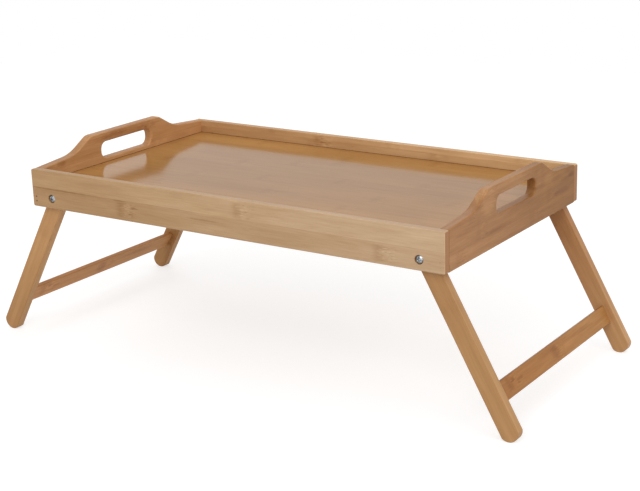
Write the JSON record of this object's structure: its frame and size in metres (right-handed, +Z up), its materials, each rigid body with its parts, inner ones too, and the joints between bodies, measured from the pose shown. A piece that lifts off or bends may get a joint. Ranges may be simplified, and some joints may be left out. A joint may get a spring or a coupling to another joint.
{
  "type": "bed tray table",
  "caption": "Bamboo bed tray table with raised rims, a hand slot in each end board and splayed leg pairs that fold flat under the tray.",
  "frame": {"origin": "on the floor under the middle of the tray, with both leg pairs opened out", "axes": "+X along the tray to its right end, +Y to its back rail, +Z up"},
  "size_m": [0.6384, 0.2844, 0.2122],
  "materials": {
    "rail_bamboo": "laminated bamboo strips, thin satin lacquer",
    "end_board_bamboo": "laminated bamboo strips, thin satin lacquer",
    "panel_bamboo": "bamboo sheet under a thick gloss lacquer",
    "leg_bamboo": "solid bamboo lath, thin satin lacquer",
    "stretcher_bamboo": "solid bamboo lath, thin satin lacquer",
    "bolt_steel": "zinc-plated steel",
    "washer_steel": "zinc-plated steel",
    "nut_steel": "zinc-plated steel",
    "nail_steel": "plain steel wire"
  },
  "bodies": {
    "tray": {"front_rail": "rail_bamboo", "back_rail": "rail_bamboo", "left_end_board": "end_board_bamboo", "right_end_board": "end_board_bamboo", "tray_panel": "panel_bamboo", "front_left_pivot_bolt": "bolt_steel", "front_left_spacer_washer": "washer_steel", "front_left_inner_washer": "washer_steel", "front_left_lock_nut": "nut_steel", "front_left_corner_nails": "nail_steel", "back_left_pivot_bolt": "bolt_steel", "back_left_spacer_washer": "washer_steel", "back_left_inner_washer": "washer_steel", "back_left_lock_nut": "nut_steel", "back_left_corner_nails": "nail_steel", "front_right_pivot_bolt": "bolt_steel", "front_right_spacer_washer": "washer_steel", "front_right_inner_washer": "washer_steel", "front_right_lock_nut": "nut_steel", "front_right_corner_nails": "nail_steel", "back_right_pivot_bolt": "bolt_steel", "back_right_spacer_washer": "washer_steel", "back_right_inner_washer": "washer_steel", "back_right_lock_nut": "nut_steel", "back_right_corner_nails": "nail_steel"},
    "left_leg_set": {"front_left_leg": "leg_bamboo", "back_left_leg": "leg_bamboo", "left_stretcher": "stretcher_bamboo"},
    "right_leg_set": {"front_right_leg": "leg_bamboo", "back_right_leg": "leg_bamboo", "right_stretcher": "stretcher_bamboo"}
  },
  "joints": [
    {"name": "left_legs_fold", "type": "hinge", "parent": "tray", "child": "left_leg_set", "pos_m": [-0.2232, 0, 0.16307], "axis": [0, -1, 0], "range_deg": [0, 119.31]},
    {"name": "right_legs_fold", "type": "hinge", "parent": "tray", "child": "right_leg_set", "pos_m": [0.2232, 0, 0.16307], "axis": [0, 1, 0], "range_deg": [0, 119.31]}
  ]
}
